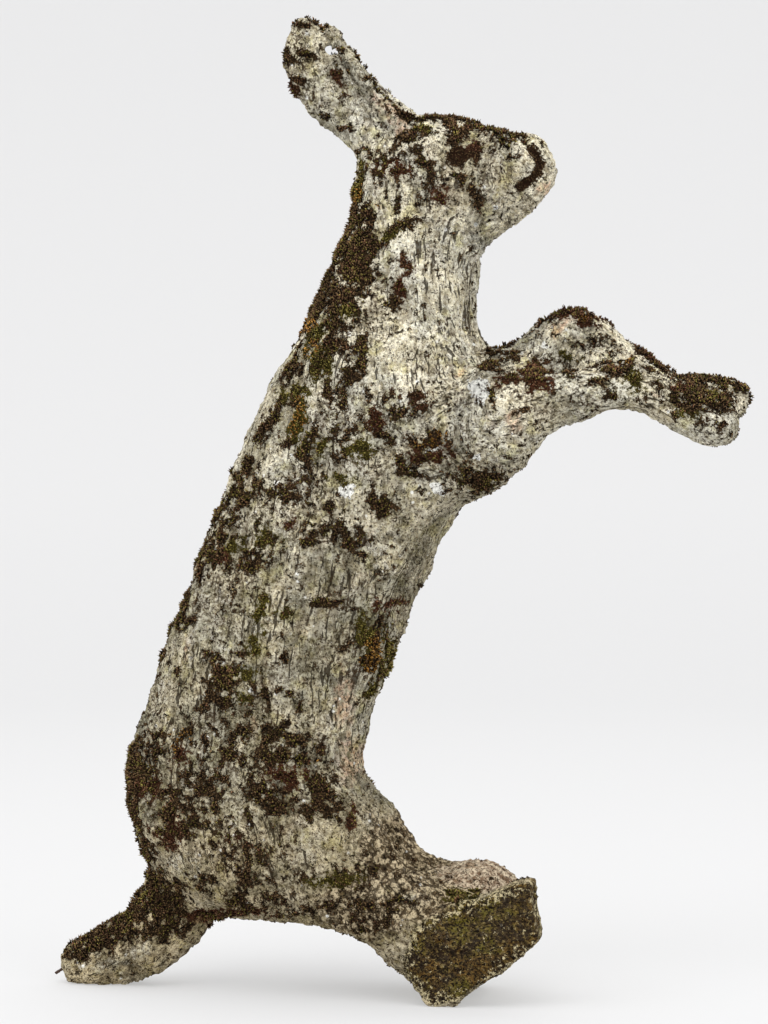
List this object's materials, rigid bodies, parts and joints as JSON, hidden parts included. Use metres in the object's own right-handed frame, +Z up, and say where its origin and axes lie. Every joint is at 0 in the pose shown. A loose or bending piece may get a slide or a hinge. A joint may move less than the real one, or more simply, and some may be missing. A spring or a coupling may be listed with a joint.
{
  "type": "hare garden statue",
  "caption": "Leaping hare garden statue in weathered cement, standing upright on its tail and the cut stub of its hind feet, forelegs stretched forward.",
  "frame": {"origin": "bottom centre of the part's box, on the ground", "axes": "+Z up, +X the way the hare faces, the pictured side faces -Y"},
  "size_m": [0.5646, 0.1442, 0.7766],
  "materials": {
    "weathered_cement": "rough, pitted, with lichen and dark moss",
    "rusty_iron": "rusty, dull"
  },
  "bodies": {
    "root": {"hare": "weathered_cement", "tail_wire": "rusty_iron"}
  },
  "joints": []
}
